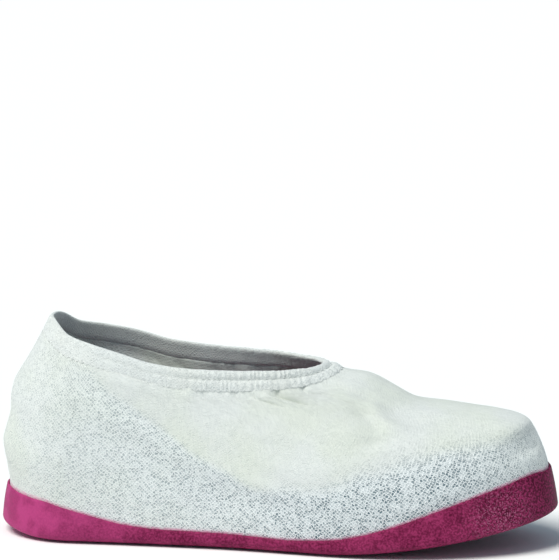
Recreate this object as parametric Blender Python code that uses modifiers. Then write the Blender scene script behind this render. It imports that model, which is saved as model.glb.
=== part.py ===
"""Overshoe: a knitted upper with an elasticated hem, bonded into a moulded rubber sole with a lozenge tread.

Metres, +Z up, toe towards +X, heel towards -X. The origin is the centre of the footprint, on the ground that the
tread pads stand on. Every contour runs round the foot from the toe (angle 0) by the +Y side to the heel (angle pi)
and back by the -Y side.
"""

import bisect
import math
from collections import namedtuple

import bmesh
import bpy

# Sole: footprint and ground curve
SOLE_LENGTH = 0.320
BALL_WIDTH = 0.116
WAIST_WIDTH = 0.089
HEEL_WIDTH = 0.084
TOE_CAP_LENGTH = 0.088
HEEL_CAP_LENGTH = 0.045
TOE_SPRING = 0.018
TOE_SPRING_LENGTH = 0.110
HEEL_SPRING = 0.0035
HEEL_SPRING_LENGTH = 0.036

# Sole: floor, wall and tread
FLOOR_THICKNESS = 0.003
WALL_THICKNESS = 0.0022
WALL_EDGE_THICKNESS = 0.0012
CORNER_RADIUS = 0.005
WALL_LEAN = 0.14
WALL_HEIGHT = 0.0305
TREAD_HEIGHT = 0.0012
TREAD_PITCH_LENGTH = 0.0130
TREAD_PITCH_WIDTH = 0.0074
TREAD_GROOVE = 0.0018
TREAD_MARGIN = 0.0068

# Upper and hem
FABRIC_THICKNESS = 0.0020
HEM_WIDTH = 0.0115
HEM_THICKNESS = 0.0040
SEAM_BAND = 0.0030
COLLAR_LENGTH = 0.155
COLLAR_WIDTH = 0.070
COLLAR_BACK_SETBACK = 0.0303
HEEL_TOP_HEIGHT = 0.1255
COLLAR_FRONT_HEIGHT = 0.1020
GATHER_COUNT = 20
GATHER_DEPTH = 0.0009
FOLD_HEIGHT = 0.0016

# Gap between pieces that touch
CLEARANCE = 0.0003

# Points round each contour: a multiple of four times the gathers, so that each gather has a crest and a trough
CONTOUR_POINTS = 4 * GATHER_COUNT

TAU = 2.0 * math.pi
COLOURS = {
    "rubber": ((0.42, 0.03, 0.11, 1.0), 0.5),
    "knit": ((0.83, 0.85, 0.81, 1.0), 0.95),
    "hem": ((0.85, 0.87, 0.83, 1.0), 0.95),
}

# Width of the footprint at a share of the foot's length, from the heel to the toe
Width = namedtuple("Width", "along width")
FOOTPRINT = (
    Width(0.14, HEEL_WIDTH),
    Width(0.38, WAIST_WIDTH),
    Width(0.70, BALL_WIDTH),
)

# Height of the rubber wall above the underside, as a share of the wall's greatest height
Wall = namedtuple("Wall", "along height")
WALL_HEIGHTS = (
    Wall(0.00, 0.78),
    Wall(0.12, 0.69),
    Wall(0.20, 0.54),
    Wall(0.29, 0.43),
    Wall(0.40, 0.34),
    Wall(0.51, 0.29),
    Wall(0.60, 0.32),
    Wall(0.67, 0.42),
    Wall(0.74, 0.62),
    Wall(0.82, 0.84),
    Wall(0.90, 0.98),
    Wall(0.95, 1.00),
    Wall(1.00, 0.91),
)

# Height of the collar's rim from its back to its front, as a share of the way from the front's height to the
# heel's peak
Rise = namedtuple("Rise", "along share")
RIM_RISES = (
    Rise(0.00, 1.00),
    Rise(0.08, 0.68),
    Rise(0.17, 0.55),
    Rise(0.27, 0.41),
    Rise(0.41, 0.20),
    Rise(0.55, 0.12),
    Rise(0.80, 0.08),
    Rise(1.00, 0.00),
)

# Angle below the horizontal at which the hem leaves the rim, at angles round the foot
Slope = namedtuple("Slope", "angle degrees")
HEM_SLOPES = (
    Slope(0.0, 15.0),
    Slope(0.20 * math.pi, 50.0),
    Slope(0.50 * math.pi, 78.0),
    Slope(0.80 * math.pi, 72.0),
    Slope(math.pi, 62.0),
)

# Profiles of the upper at five places round the foot, from the top of the rubber (0) to the hem's seam (1).
# Each step gives the shares of that way that the fabric has gone along the foot, inwards and upwards.
Step = namedtuple("Step", "along inward up")
Profile = namedtuple("Profile", "angle steps")
PROFILES = (
    # toe
    Profile(0.0, (
        Step(0.018, 0.02, 0.125),
        Step(0.052, 0.05, 0.275),
        Step(0.092, 0.09, 0.430),
        Step(0.160, 0.16, 0.522),
        Step(0.290, 0.28, 0.602),
        Step(0.460, 0.44, 0.640),
        Step(0.635, 0.62, 0.668),
        Step(0.765, 0.76, 0.800),
        Step(0.885, 0.88, 0.930),
    )),
    # ball of the foot
    Profile(0.30 * math.pi, (
        Step(0.010, -0.05, 0.120),
        Step(0.030, -0.04, 0.240),
        Step(0.070, 0.02, 0.360),
        Step(0.170, 0.13, 0.470),
        Step(0.290, 0.26, 0.575),
        Step(0.430, 0.41, 0.675),
        Step(0.580, 0.58, 0.770),
        Step(0.740, 0.74, 0.860),
        Step(0.880, 0.88, 0.940),
    )),
    # waist
    Profile(0.56 * math.pi, (
        Step(0.020, -0.12, 0.110),
        Step(0.060, -0.20, 0.230),
        Step(0.120, -0.24, 0.350),
        Step(0.210, -0.20, 0.470),
        Step(0.340, -0.04, 0.585),
        Step(0.500, 0.22, 0.690),
        Step(0.650, 0.48, 0.790),
        Step(0.780, 0.69, 0.870),
        Step(0.900, 0.86, 0.940),
    )),
    # side of the heel
    Profile(0.80 * math.pi, (
        Step(-0.040, -0.20, 0.120),
        Step(-0.080, -0.38, 0.220),
        Step(-0.060, -0.40, 0.320),
        Step(0.020, -0.20, 0.430),
        Step(0.080, -0.05, 0.540),
        Step(0.150, 0.08, 0.640),
        Step(0.290, 0.26, 0.740),
        Step(0.530, 0.52, 0.830),
        Step(0.790, 0.78, 0.920),
    )),
    # back of the heel
    Profile(math.pi, (
        Step(-0.060, -0.16, 0.130),
        Step(-0.150, -0.30, 0.220),
        Step(-0.200, -0.30, 0.300),
        Step(-0.080, -0.10, 0.400),
        Step(0.050, 0.00, 0.500),
        Step(0.070, 0.10, 0.610),
        Step(0.190, 0.26, 0.715),
        Step(0.480, 0.52, 0.815),
        Step(0.770, 0.78, 0.912),
    )),
)

# Soft folds of the fabric: where each starts and ends, by angle round the foot and by share of the way up, its
# half width in radians, and its height as a share of FOLD_HEIGHT
Fold = namedtuple("Fold", "angle_from level_from angle_to level_to spread height")
FOLDS = (
    # ridges that fan out from the front of the collar
    Fold(-0.16 * math.pi, 0.98, -0.30 * math.pi, 0.45, 0.10, 0.9),
    Fold(-0.24 * math.pi, 0.98, -0.40 * math.pi, 0.50, 0.11, 0.8),
    Fold(0.18 * math.pi, 0.98, 0.31 * math.pi, 0.45, 0.10, 0.9),
    Fold(0.28 * math.pi, 0.98, 0.43 * math.pi, 0.55, 0.12, 0.7),
    # broad ridge from the back of the collar to the waist
    Fold(-0.47 * math.pi, 0.33, -0.69 * math.pi, 0.75, 0.15, 1.0),
    Fold(0.48 * math.pi, 0.33, 0.70 * math.pi, 0.75, 0.15, 0.9),
    # dents at the corners of the toe
    Fold(-0.10 * math.pi, 0.25, -0.18 * math.pi, 0.40, 0.09, -1.5),
    Fold(0.12 * math.pi, 0.25, 0.20 * math.pi, 0.42, 0.10, -1.0),
)


def smooth(value):
    """Eases a share from 0 to 1 with level ends."""
    value = min(1.0, max(0.0, value))
    return value * value * (3.0 - 2.0 * value)


def mix(start, end, share):
    return start + (end - start) * share


def tangent(rows, index, column):
    """Slope of the curve at one row of a table: level at its ends and at its crests and troughs."""
    if index in (0, len(rows) - 1):
        return 0.0
    before, here, after = rows[index - 1], rows[index], rows[index + 1]
    rise_in = (here[column] - before[column]) / (here[0] - before[0])
    rise_out = (after[column] - here[column]) / (after[0] - here[0])
    if rise_in * rise_out <= 0.0:
        return 0.0
    return 2.0 * rise_in * rise_out / (rise_in + rise_out)


def curve(rows, place, column=1):
    """One column of a table as a smooth curve over its first column, held past the ends."""
    places = [row[0] for row in rows]
    after = bisect.bisect_right(places, place)
    if after == 0:
        return rows[0][column]
    if after == len(rows):
        return rows[-1][column]
    low, high = rows[after - 1], rows[after]
    span = high[0] - low[0]
    share = (place - low[0]) / span
    leaving = tangent(rows, after - 1, column) * span
    arriving = tangent(rows, after, column) * span
    bend = share * (1.0 - share)
    return (
        mix(low[column], high[column], smooth(share))
        + bend * ((1.0 - share) * leaving - share * arriving)
    )


def cap(distance, length):
    """Rounds an end: 0 at the tip, 1 from the cap's length inwards, along a quarter of an ellipse."""
    share = min(1.0, max(0.0, distance / length))
    return math.sqrt(max(0.0, 1.0 - (1.0 - share) ** 2))


def contour_angles():
    return [TAU * index / CONTOUR_POINTS for index in range(CONTOUR_POINTS)]


def half_width(x):
    """Half of the footprint's width at a place along the foot."""
    from_heel = x + SOLE_LENGTH / 2.0
    from_toe = SOLE_LENGTH / 2.0 - x
    body = curve(FOOTPRINT, from_heel / SOLE_LENGTH) / 2.0
    return body * cap(from_toe, TOE_CAP_LENGTH) * cap(from_heel, HEEL_CAP_LENGTH)


def footprint(angle):
    x = SOLE_LENGTH / 2.0 * math.cos(angle)
    side = 1.0 if math.sin(angle) >= 0.0 else -1.0
    return x, side * half_width(x)


def outward(contour, angle):
    """Unit normal of a plan contour, pointing away from the foot."""
    step = 0.004
    x0, y0 = contour(angle - step)
    x1, y1 = contour(angle + step)
    length = math.hypot(x1 - x0, y1 - y0)
    return (y1 - y0) / length, -(x1 - x0) / length


def inset_footprint(angle, inset):
    x, y = footprint(angle)
    nx, ny = outward(footprint, angle)
    return x - nx * inset, y - ny * inset


def ground(x):
    """Height of the underside above the ground: the toe and the heel curve up."""
    toe = max(0.0, x - (SOLE_LENGTH / 2.0 - TOE_SPRING_LENGTH)) / TOE_SPRING_LENGTH
    heel = max(0.0, -x - (SOLE_LENGTH / 2.0 - HEEL_SPRING_LENGTH)) / HEEL_SPRING_LENGTH
    return TOE_SPRING * toe ** 1.5 + HEEL_SPRING * heel ** 2


def wall_height(x):
    """Height of the rubber wall above the underside: high at the toe and the heel, low at the waist."""
    return WALL_HEIGHT * curve(WALL_HEIGHTS, x / SOLE_LENGTH + 0.5)


def wall_point(angle, height, inward):
    """Point at a height above the underside, inward of the wall's leaning outer face."""
    x, _ = footprint(angle)
    inset = WALL_LEAN * max(0.0, height - CORNER_RADIUS) + inward
    px, py = inset_footprint(angle, inset)
    return px, py, ground(x) + height


def inner_wall_point(angle, height, gap):
    """Point on the wall's inner face, which tapers to the thin top edge, moved inwards by a gap."""
    x, _ = footprint(angle)
    floor_top = TREAD_HEIGHT + FLOOR_THICKNESS
    share = (height - floor_top) / (wall_height(x) - floor_top)
    base = WALL_THICKNESS
    edge = WALL_LEAN * max(0.0, wall_height(x) - CORNER_RADIUS) + WALL_EDGE_THICKNESS
    px, py = inset_footprint(angle, mix(base, edge, share) + gap)
    return px, py, ground(x) + height


def rim_back():
    return -SOLE_LENGTH / 2.0 + COLLAR_BACK_SETBACK


def rim_plan(angle):
    """Plan outline of the collar's rim: a long oval, a little fuller at the heel."""
    along = (1.0 + math.cos(angle)) / 2.0
    x = rim_back() + COLLAR_LENGTH * along
    fullness = cap(along, 0.38) * cap(1.0 - along, 0.52)
    side = 1.0 if math.sin(angle) >= 0.0 else -1.0
    return x, side * COLLAR_WIDTH / 2.0 * fullness


def rim_point(angle):
    x, y = rim_plan(angle)
    share = curve(RIM_RISES, (x - rim_back()) / COLLAR_LENGTH)
    return x, y, mix(COLLAR_FRONT_HEIGHT, HEEL_TOP_HEIGHT, share)


def hem_direction(angle):
    """Unit vector from the rim down the hem, which lies almost flat at the front and stands at the sides."""
    turned = abs(math.atan2(math.sin(angle), math.cos(angle)))
    slope = math.radians(curve(HEM_SLOPES, turned))
    nx, ny = outward(rim_plan, angle)
    return nx * math.cos(slope), ny * math.cos(slope), -math.sin(slope)


def hem_normal(angle):
    """Unit vector out of the hem's outer face."""
    nx, ny = outward(rim_plan, angle)
    dx, dy, dz = hem_direction(angle)
    flat = math.hypot(dx, dy)
    return nx * -dz, ny * -dz, flat


def hem_point(angle, down, out):
    """Point on the hem: a distance down from the rim and a distance out of its middle surface."""
    rim = rim_point(angle)
    direction = hem_direction(angle)
    normal = hem_normal(angle)
    return tuple(r + d * down + n * out for r, d, n in zip(rim, direction, normal))


def gather(angle):
    """Crests and troughs of the gathered fabric, strongest round the front of the collar."""
    front = smooth(0.5 + 0.5 * math.cos(angle))
    strength = mix(0.35, 1.0, front)
    return GATHER_DEPTH * strength * math.cos(angle * GATHER_COUNT)


def fold_relief(angle, level):
    """Height of the soft folds above the plain surface."""
    relief = 0.0
    for fold in FOLDS:
        span = fold.level_to - fold.level_from
        share = (level - fold.level_from) / span
        if -0.3 < share < 1.3:
            middle = mix(fold.angle_from, fold.angle_to, share)
            away = math.remainder(angle - middle, TAU) / fold.spread
            fade = smooth((share + 0.3) / 0.5) * smooth((1.3 - share) / 0.5)
            relief += fold.height * FOLD_HEIGHT * fade * math.exp(-away * away)
    return relief


def profile_step(angle, row):
    """One row of the profiles, eased round the foot between the five places."""
    turned = abs(math.atan2(math.sin(angle), math.cos(angle)))
    rows = [(profile.angle, *profile.steps[row]) for profile in PROFILES]
    return Step(*[curve(rows, turned, column) for column in (1, 2, 3)])


def seam_point(angle):
    """Where the fabric leaves the rubber, level with the wall's edge and just inside it."""
    x, _ = footprint(angle)
    return inner_wall_point(angle, wall_height(x), CLEARANCE)


def upper_point(angle, row):
    """Point of the upper's outer face on one row of the profiles, with its folds and gathers."""
    seam = seam_point(angle)
    top = hem_point(angle, HEM_WIDTH + CLEARANCE + SEAM_BAND, FABRIC_THICKNESS / 2.0)
    step = profile_step(angle, row)
    x = mix(seam[0], top[0], step.along)
    y = mix(seam[1], top[1], step.inward)
    z = mix(seam[2], top[2], step.up)
    nx, ny = outward(footprint, angle)
    relief = fold_relief(angle, step.up) + gather(angle) * smooth((step.up - 0.6) / 0.4)
    lift = smooth((step.up - 0.35) / 0.4)
    flat = math.sqrt(1.0 - 0.5 * lift)
    return x + nx * relief * flat, y + ny * relief * flat, z + relief * math.sqrt(0.5 * lift)


def loop_of(mesh, points):
    return [mesh.verts.new(point) for point in points]


def join_loops(mesh, lower, upper):
    """Strip of faces between two closed loops with equal numbers of points."""
    count = len(lower)
    for index in range(count):
        after = (index + 1) % count
        mesh.faces.new((lower[index], lower[after], upper[after], upper[index]))


def material(name):
    colour, roughness = COLOURS[name]
    made = bpy.data.materials.new(name)
    made.use_nodes = True
    shader = made.node_tree.nodes["Principled BSDF"]
    shader.inputs["Base Color"].default_value = colour
    shader.inputs["Roughness"].default_value = roughness
    shader.inputs["Metallic"].default_value = 0.0
    made.diffuse_color = colour
    return made


def finish(mesh, name, material_name, collection):
    """Turns a bmesh into a named, smooth-shaded object of the collection."""
    bmesh.ops.recalc_face_normals(mesh, faces=mesh.faces)
    data = bpy.data.meshes.new(name)
    mesh.to_mesh(data)
    mesh.free()
    data.shade_smooth()
    data.set_sharp_from_angle(angle=math.radians(35.0))
    data.materials.append(material(material_name))
    made = bpy.data.objects.new(name, data)
    collection.objects.link(made)
    return made


def tread_grid(mesh):
    """Flat lattice of lozenges inside the tread's margin, at the level of the grooves."""
    across = math.ceil(BALL_WIDTH / TREAD_PITCH_WIDTH)
    lengthwise = math.ceil(SOLE_LENGTH / TREAD_PITCH_LENGTH)
    segments = 2 * (across + lengthwise)
    made = bmesh.ops.create_grid(mesh, x_segments=segments, y_segments=segments, size=segments / 2.0)
    for vert in made["verts"]:
        a, b = vert.co.x, vert.co.y
        vert.co = (
            (a + b) * TREAD_PITCH_LENGTH / 2.0,
            (a - b + 1.0) * TREAD_PITCH_WIDTH / 2.0,
            0.0,
        )
    outside = [face for face in mesh.faces if not all(within_tread(vert.co) for vert in face.verts)]
    bmesh.ops.delete(mesh, geom=outside, context="FACES")
    return list(mesh.faces)


def within_tread(point):
    """Whether a point of the underside lies inside the tread's margin."""
    reach = SOLE_LENGTH / 2.0 - TREAD_MARGIN
    if abs(point.x) >= reach:
        return False
    stretched = point.x * SOLE_LENGTH / 2.0 / reach
    return abs(point.y) < half_width(stretched) - TREAD_MARGIN


def sole_underside(mesh):
    """Tread, its plain margin, and the loop where the rounded corner starts. Returns that loop."""
    pads = tread_grid(mesh)
    edge = [
        (*inset_footprint(angle, CORNER_RADIUS), 0.0)
        for angle in contour_angles()
    ]
    corner = loop_of(mesh, edge)
    ring = [
        mesh.edges.new((corner[index - 1], corner[index]))
        for index in range(len(corner))
    ]
    border = [edge for edge in mesh.edges if edge.is_boundary]
    bmesh.ops.triangle_fill(mesh, edges=ring + border, use_beauty=True, use_dissolve=False)
    mesh.normal_update()
    if pads[0].normal.z > 0.0:
        bmesh.ops.reverse_faces(mesh, faces=mesh.faces)
        mesh.normal_update()
    bmesh.ops.inset_individual(
        mesh, faces=pads, thickness=TREAD_GROOVE / 2.0, depth=TREAD_HEIGHT, use_even_offset=True
    )
    for vert in mesh.verts:
        vert.co.z += TREAD_HEIGHT + ground(vert.co.x)
    return corner


def corner_loops(mesh, corner):
    """Rounded corner from the underside up to the wall. Returns its top loop."""
    below = corner
    for turn in (30.0, 60.0, 90.0):
        angle_up = math.radians(turn)
        inset = CORNER_RADIUS * (1.0 - math.sin(angle_up))
        rise = TREAD_HEIGHT + (CORNER_RADIUS - TREAD_HEIGHT) * (1.0 - math.cos(angle_up))
        points = []
        for angle in contour_angles():
            x, _ = footprint(angle)
            px, py = inset_footprint(angle, inset)
            points.append((px, py, ground(x) + rise))
        above = loop_of(mesh, points)
        join_loops(mesh, below, above)
        below = above
    return below


def floor_ladder(mesh, loop):
    """Closes the tray's floor with rungs from side to side, so that it follows the curve of the ground."""
    half = len(loop) // 2
    for index in range(1, half - 1):
        left, right = loop[index], loop[-index]
        next_left, next_right = loop[index + 1], loop[-index - 1]
        mesh.faces.new((left, next_left, next_right, right))
    mesh.faces.new((loop[0], loop[1], loop[-1]))
    mesh.faces.new((loop[half], loop[half + 1], loop[half - 1]))


def build_sole(collection):
    """Rubber tray with lozenge pads underneath and a wall that rises at the toe and the heel."""
    mesh = bmesh.new()
    below = corner_loops(mesh, sole_underside(mesh))
    heights = [wall_height(footprint(angle)[0]) for angle in contour_angles()]
    outer = loop_of(mesh, [
        wall_point(angle, height, 0.0)
        for angle, height in zip(contour_angles(), heights)
    ])
    inner = loop_of(mesh, [
        wall_point(angle, height, WALL_EDGE_THICKNESS)
        for angle, height in zip(contour_angles(), heights)
    ])
    floor = loop_of(mesh, [
        inner_wall_point(angle, TREAD_HEIGHT + FLOOR_THICKNESS, 0.0)
        for angle in contour_angles()
    ])
    join_loops(mesh, below, outer)
    join_loops(mesh, outer, inner)
    join_loops(mesh, inner, floor)
    floor_ladder(mesh, floor)
    return finish(mesh, "sole", "rubber", collection)


def build_upper(collection):
    """Fabric body: tucked inside the rubber wall, over the foot and up to the hem's seam."""
    mesh = bmesh.new()
    floor_top = TREAD_HEIGHT + FLOOR_THICKNESS
    loops = [
        loop_of(mesh, [
            inner_wall_point(angle, floor_top + CLEARANCE, CLEARANCE)
            for angle in contour_angles()
        ]),
        loop_of(mesh, [seam_point(angle) for angle in contour_angles()]),
    ]
    for row in range(len(PROFILES[0].steps)):
        loops.append(loop_of(mesh, [upper_point(angle, row) for angle in contour_angles()]))
    for below_hem in (SEAM_BAND, 0.0):
        down = HEM_WIDTH + CLEARANCE + below_hem
        loops.append(loop_of(mesh, [
            hem_point(angle, down, FABRIC_THICKNESS / 2.0 + gather(angle))
            for angle in contour_angles()
        ]))
    for lower, above in zip(loops, loops[1:]):
        join_loops(mesh, lower, above)
    upper = finish(mesh, "upper", "knit", collection)
    shell = upper.modifiers.new("fabric", "SOLIDIFY")
    shell.thickness = FABRIC_THICKNESS
    shell.offset = -1.0
    shell.use_even_offset = False
    return upper


def hem_section():
    """Section of the hem, down from the rim and out of its middle surface: two rolls with a waist between them."""
    half = HEM_THICKNESS / 2.0
    return (
        (0.00, 0.0),
        (0.12 * HEM_WIDTH, half * 0.8),
        (0.30 * HEM_WIDTH, half),
        (0.52 * HEM_WIDTH, half * 0.72),
        (0.75 * HEM_WIDTH, half),
        (1.00 * HEM_WIDTH, half * 0.6),
        (1.00 * HEM_WIDTH, -half * 0.6),
        (0.50 * HEM_WIDTH, -half),
        (0.12 * HEM_WIDTH, -half * 0.8),
    )


def build_hem(collection):
    """Elastic casing round the collar, gathered with the fabric below it."""
    mesh = bmesh.new()
    loops = [
        loop_of(mesh, [
            hem_point(angle, down, out + gather(angle))
            for angle in contour_angles()
        ])
        for down, out in hem_section()
    ]
    for index, loop in enumerate(loops):
        join_loops(mesh, loop, loops[(index + 1) % len(loops)])
    return finish(mesh, "elastic_hem", "hem", collection)


def main():
    for old in list(bpy.data.objects):
        bpy.data.objects.remove(old)
    collection = bpy.data.collections.new("overshoe")
    bpy.context.scene.collection.children.link(collection)
    build_sole(collection)
    build_upper(collection)
    build_hem(collection)


main()
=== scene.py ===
"""Overshoe: knitted upper, elasticated hem and moulded rubber sole with a tread of raised pads.

Everything is in metres, in the frame of the CAD model: the toe is at +X, +Z is up, and the tread stands on
Z = 0. Contours run round the foot from the toe (angle 0) by the +Y side to the heel (angle pi) and back. The
tables give such angles in half turns, so the heel is at 1.
"""

import logging
import math
from collections.abc import Callable
from dataclasses import dataclass
from enum import Enum
from functools import reduce

import bmesh
import bpy
import numpy as np
from mathutils import Matrix, Vector, noise


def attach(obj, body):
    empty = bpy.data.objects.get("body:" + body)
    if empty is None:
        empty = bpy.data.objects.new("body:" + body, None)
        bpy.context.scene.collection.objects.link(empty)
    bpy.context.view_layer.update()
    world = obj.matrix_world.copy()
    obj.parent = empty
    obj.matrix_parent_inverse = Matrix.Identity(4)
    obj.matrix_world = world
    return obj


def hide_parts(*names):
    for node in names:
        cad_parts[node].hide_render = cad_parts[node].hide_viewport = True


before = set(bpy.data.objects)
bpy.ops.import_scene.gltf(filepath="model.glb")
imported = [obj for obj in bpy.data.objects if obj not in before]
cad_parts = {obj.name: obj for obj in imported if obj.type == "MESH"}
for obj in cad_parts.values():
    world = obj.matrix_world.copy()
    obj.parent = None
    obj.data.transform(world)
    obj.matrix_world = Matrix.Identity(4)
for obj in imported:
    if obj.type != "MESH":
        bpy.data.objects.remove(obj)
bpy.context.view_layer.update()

LOG = logging.getLogger("overshoe")
TAU = 2.0 * math.pi
WELD = 1e-7
PARTS_WELD = 2e-6
Array = np.ndarray
Range = tuple[float, float]
Colour = tuple[float, float, float]
Material = bpy.types.Material
Socket = bpy.types.NodeSocket
WIDE_NOISE = (0.3, 0.7)
NARROW_NOISE = (0.35, 0.65)


# Curves and fields

@dataclass(frozen=True)
class Curve:
    """Smooth curve through rows of (place, value), level at its ends and never past its rows."""

    rows: tuple[tuple[float, float], ...]

    def at(self, places: Array) -> Array:
        """Evaluates the curve.

        Args:
            places: Where to read it; places past either end take the end's value.

        Returns:
            The curve's values, in the shape of places.
        """
        x, y = np.array(self.rows, dtype=float).T
        span = np.diff(x)
        rise = np.diff(y) / span
        slope = np.zeros_like(x)
        both = rise[:-1] + rise[1:]
        same_way = rise[:-1] * rise[1:] > 0.0
        slope[1:-1][same_way] = (2.0 * rise[:-1] * rise[1:])[same_way] / both[same_way]
        index = np.clip(np.searchsorted(x, places, side="right") - 1, 0, len(x) - 2)
        share = np.clip((places - x[index]) / span[index], 0.0, 1.0)
        leaving, arriving = slope[index] * span[index], slope[index + 1] * span[index]
        middle = y[index] + (y[index + 1] - y[index]) * smooth(share)
        return middle + share * (1.0 - share) * ((1.0 - share) * leaving - share * arriving)


def smooth(value: Array) -> Array:
    """Eases shares from 0 to 1 with level ends, and holds them outside."""
    value = np.clip(value, 0.0, 1.0)
    return value * value * (3.0 - 2.0 * value)


def ramp(value: Array, start: float, end: float) -> Array:
    """Eases values from 0 at the start to 1 at the end, which may lie below it."""
    return smooth((value - start) / (end - start))


def cap(distance: Array, length: float) -> Array:
    """Rounds an end along a quarter ellipse: 0 at the tip, 1 from the cap's length inwards."""
    share = np.clip(distance / length, 0.0, 1.0)
    return np.sqrt(np.maximum(0.0, 1.0 - (1.0 - share) ** 2))


def turned(angles: Array) -> Array:
    """Half turns from the toe by the shorter way round, from 0 to 1."""
    return np.abs(np.arctan2(np.sin(angles), np.cos(angles))) / math.pi


def apart(angles: Array, middle: Array | float) -> Array:
    """Signed angles from a middle in half turns, by the shorter way round."""
    return np.mod(angles - math.pi * middle + math.pi, TAU) - math.pi


def side_of(angles: Array) -> Array:
    """1 on the +Y side of the foot, -1 on the other."""
    return np.where(np.sin(angles) >= 0.0, 1.0, -1.0)


def soft_noise(points: Array, size: float, seed: float) -> Array:
    """Soft noise over a surface.

    Args:
        points: Places on the surface, with the last axis x, y, z.
        size: How far apart its lumps are, in metres.
        seed: Which pattern.

    Returns:
        Values from about -1 to 1, in the shape of points without its last axis.
    """
    flat = points.reshape(-1, 3) / size
    values = [noise.noise(Vector((p[0] + seed, p[1] - seed, p[2] + 0.5 * seed))) for p in flat]
    return np.array(values).reshape(points.shape[:-1])


def wandering(shares: Array, count: float, seed: float) -> Array:
    """Soft noise round a closed line.

    Args:
        shares: Places along the line, from 0 to 1.
        count: How many lumps there are round it.
        seed: Which pattern.

    Returns:
        Values from about -1 to 1 that join up at 0 and 1.
    """
    ring = np.stack([np.cos(TAU * shares), np.sin(TAU * shares), np.zeros_like(shares)], axis=-1)
    return soft_noise(ring * (count / TAU), 1.0, seed)


@dataclass(frozen=True)
class Lumps:
    """Unevenness of a surface: its height, how far apart its lumps are, and which pattern."""

    height: float
    size: float
    seed: float

    def over(self, points: Array) -> Array:
        """Heights at points of the surface."""
        return self.height * soft_noise(points, self.size, self.seed)


@dataclass(frozen=True)
class Waves:
    """Soft waves round a closed line: their height, how many there are, and which pattern."""

    height: float
    count: float
    seed: float

    def along(self, shares: Array, change: float = 0.0) -> Array:
        """Heights at places from 0 to 1 along the line; a change gives another pattern."""
        return self.height * wandering(shares, self.count, self.seed + change)


@dataclass(frozen=True)
class Puckers:
    """Uneven gathers round a closed line, with round crests and sharp troughs.

    The spans of its noise are counted in gathers.
    """

    count: int
    seed: float
    jitter: float = 1.3
    jitter_span: float = 3.0
    rounding: float = 0.18
    gain: float = 2.2
    middle: float = 1.55
    usual: float = 0.75
    spread: float = 0.9
    spread_span: float = 1.9
    spread_seed: float = 7.0

    def along(self, shares: Array) -> Array:
        """Evaluates the gathers.

        Args:
            shares: Places along the line, from 0 to 1.

        Returns:
            Heights from about -1 in the troughs to 1 on the crests.
        """
        shift = wandering(shares, self.count / self.jitter_span, self.seed)
        phase = self.count * shares + self.jitter * shift
        wave = self.gain * np.sqrt(np.sin(math.pi * phase) ** 2 + self.rounding) - self.middle
        strength = wandering(shares, self.count / self.spread_span, self.seed + self.spread_seed)
        return wave * (self.usual + self.spread * strength)


# The foot's form

@dataclass(frozen=True)
class Profile:
    """How the fabric rises at one angle round the foot.

    Each step gives the shares of the way from the rubber's edge to the hem that it has gone along the foot,
    inwards and upwards.
    """

    angle: float
    steps: tuple[tuple[float, float, float], ...]


PROFILES = (
    # toe
    Profile(0.0, (
        (0.013, 0.015, 0.125), (0.038, 0.038, 0.275), (0.072, 0.072, 0.425),
        (0.118, 0.120, 0.532), (0.252, 0.25, 0.612), (0.456, 0.44, 0.657),
        (0.635, 0.62, 0.696), (0.765, 0.76, 0.842), (0.885, 0.88, 0.966),
    )),
    # ball of the foot
    Profile(0.30, (
        (0.010, -0.05, 0.120), (0.030, -0.04, 0.240), (0.070, 0.02, 0.360),
        (0.170, 0.13, 0.470), (0.290, 0.26, 0.575), (0.430, 0.41, 0.675),
        (0.580, 0.58, 0.770), (0.740, 0.74, 0.860), (0.880, 0.88, 0.940),
    )),
    # waist
    Profile(0.56, (
        (0.020, -0.12, 0.110), (0.060, -0.20, 0.230), (0.120, -0.24, 0.350),
        (0.210, -0.20, 0.470), (0.340, -0.04, 0.585), (0.500, 0.22, 0.690),
        (0.650, 0.48, 0.790), (0.780, 0.69, 0.870), (0.900, 0.86, 0.940),
    )),
    # side of the heel
    Profile(0.80, (
        (-0.030, -0.07, 0.120), (-0.070, -0.16, 0.220), (-0.055, -0.20, 0.320),
        (0.020, -0.15, 0.430), (0.080, -0.06, 0.540), (0.150, 0.07, 0.640),
        (0.290, 0.26, 0.740), (0.530, 0.52, 0.830), (0.790, 0.78, 0.920),
    )),
    # back of the heel
    Profile(1.0, (
        (-0.060, -0.16, 0.130), (-0.150, -0.30, 0.220), (-0.200, -0.30, 0.300),
        (-0.080, -0.10, 0.400), (0.050, 0.00, 0.500), (0.070, 0.10, 0.610),
        (0.190, 0.26, 0.715), (0.480, 0.52, 0.815), (0.770, 0.78, 0.912),
    )),
)


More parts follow.
